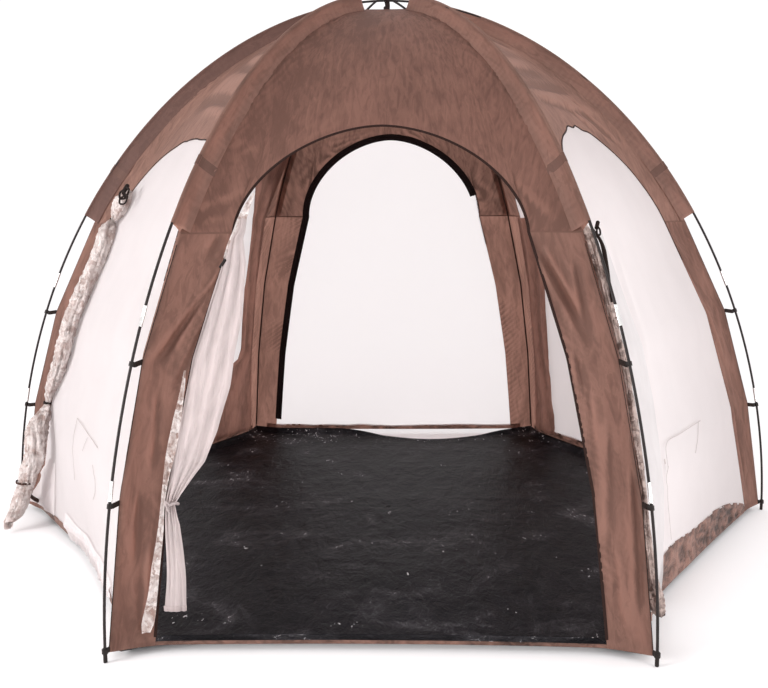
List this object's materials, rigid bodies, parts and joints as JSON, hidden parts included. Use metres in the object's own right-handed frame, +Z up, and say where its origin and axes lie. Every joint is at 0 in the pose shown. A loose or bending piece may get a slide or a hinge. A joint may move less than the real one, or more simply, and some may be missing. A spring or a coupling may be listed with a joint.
{
  "type": "pool dome",
  "caption": "Hexagonal pool dome tent: crossed bent poles, a fabric roof and corner legs, arched netting sides, an open doorway with a tied curtain, and a floor sheet.",
  "frame": {"origin": "on the ground at the centre of the hexagon", "axes": "+Z up, the open doorway faces -Y, two opposite feet lie on the X axis"},
  "size_m": [3.9204, 3.3984, 2.6005],
  "materials": {
    "tent_fabric": "brown coated polyester, fine plain weave, slight sheen",
    "netting": "white fine mesh netting",
    "clear_film": "crumpled clear film, glossy",
    "groundsheet": "black crinkled polyethylene sheet, glossy",
    "pole": "dark fibreglass rod with bright metal ferrules and black end tips",
    "webbing": "dark webbing tape and plastic pole clips"
  },
  "bodies": {
    "root": {"hoop_right_left": "pole", "hoop_back_right_front_left": "pole", "hoop_back_left_front_right": "pole", "pole_leg_front_right": "pole", "pole_leg_right": "pole", "pole_leg_back_right": "pole", "pole_leg_back_left": "pole", "pole_leg_left": "pole", "pole_leg_front_left": "pole", "sleeve_front_right": "tent_fabric", "sleeve_right": "tent_fabric", "sleeve_back_right": "tent_fabric", "sleeve_back_left": "tent_fabric", "sleeve_left": "tent_fabric", "sleeve_front_left": "tent_fabric", "corner_leg_front_right": "tent_fabric", "corner_leg_right": "tent_fabric", "corner_leg_back_right": "tent_fabric", "corner_leg_back_left": "tent_fabric", "corner_leg_left": "tent_fabric", "corner_leg_front_left": "tent_fabric", "clip_tape_front_right": "webbing", "clip_tape_right": "webbing", "clip_tape_back_right": "webbing", "clip_tape_back_left": "webbing", "clip_tape_left": "webbing", "clip_tape_front_left": "webbing", "roof_panel_front": "tent_fabric", "roof_panel_right_front": "tent_fabric", "roof_panel_right_back": "tent_fabric", "roof_panel_back": "tent_fabric", "roof_panel_left_back": "tent_fabric", "roof_panel_left_front": "tent_fabric", "window_net_right_front": "netting", "window_net_right_back": "netting", "window_net_back": "netting", "window_net_left_back": "netting", "window_net_left_front": "netting", "base_hem": "tent_fabric", "floor_sheet": "groundsheet", "door_curtain": "netting", "film_roll_left": "clear_film", "film_roll_right": "clear_film", "crown_tie": "webbing"}
  },
  "joints": []
}
